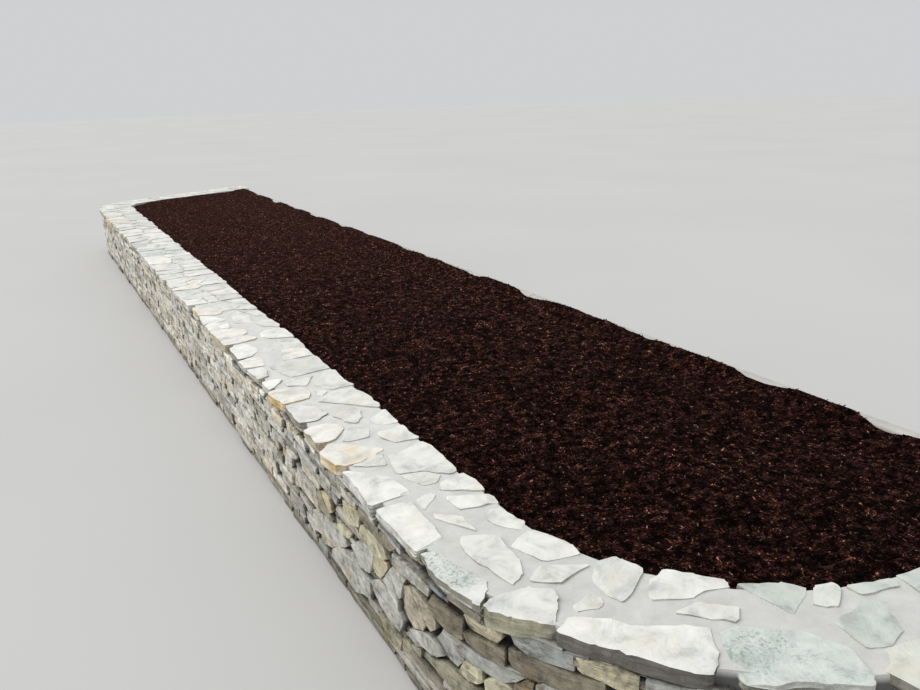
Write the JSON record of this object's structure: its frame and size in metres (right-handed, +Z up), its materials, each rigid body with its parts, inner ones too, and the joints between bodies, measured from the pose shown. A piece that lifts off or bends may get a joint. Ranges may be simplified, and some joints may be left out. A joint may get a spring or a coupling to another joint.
{
  "type": "stone raised flower bed",
  "caption": "Long low raised bed of split stone under a flagged coping, curved at one end and rounded at the other, filled with soil and bark mulch.",
  "frame": {"origin": "on the ground, at the centre of the object's bounding box in plan", "axes": "+X from the long front wall to the terrace side, +Y along the bed from the near curve to the far corner, +Z up"},
  "size_m": [1.771, 9.5278, 0.48],
  "materials": {
    "wall_stone": "split face, rough",
    "coping_stone": "riven quartzite flags in pale mortar",
    "concrete": "fair-faced precast concrete",
    "soil": "loose, dark topsoil",
    "bark": "shredded bark, matt"
  },
  "bodies": {
    "root": {"back_kerb_1": "concrete", "back_kerb_2": "concrete", "back_kerb_3": "concrete", "back_kerb_4": "concrete", "back_kerb_5": "concrete", "back_wall_1": "wall_stone", "back_wall_2": "wall_stone", "back_wall_3": "wall_stone", "back_wall_4": "wall_stone", "back_wall_5": "wall_stone", "bark_mulch": "bark", "far_corner_coping_1": "coping_stone", "far_corner_coping_2": "coping_stone", "far_corner_coping_3": "coping_stone", "far_corner_wall_1": "wall_stone", "far_corner_wall_2": "wall_stone", "far_corner_wall_3": "wall_stone", "far_return_coping": "coping_stone", "far_return_wall": "wall_stone", "front_coping_1": "coping_stone", "front_coping_2": "coping_stone", "front_coping_3": "coping_stone", "front_coping_4": "coping_stone", "front_coping_5": "coping_stone", "front_coping_6": "coping_stone", "front_wall_1": "wall_stone", "front_wall_2": "wall_stone", "front_wall_3": "wall_stone", "front_wall_4": "wall_stone", "front_wall_5": "wall_stone", "front_wall_6": "wall_stone", "near_curve_coping_1": "coping_stone", "near_curve_coping_2": "coping_stone", "near_curve_coping_3": "coping_stone", "near_curve_coping_4": "coping_stone", "near_curve_wall_1": "wall_stone", "near_curve_wall_2": "wall_stone", "near_curve_wall_3": "wall_stone", "near_curve_wall_4": "wall_stone", "near_return_coping": "coping_stone", "near_return_wall": "wall_stone", "soil_fill": "soil"}
  },
  "joints": []
}
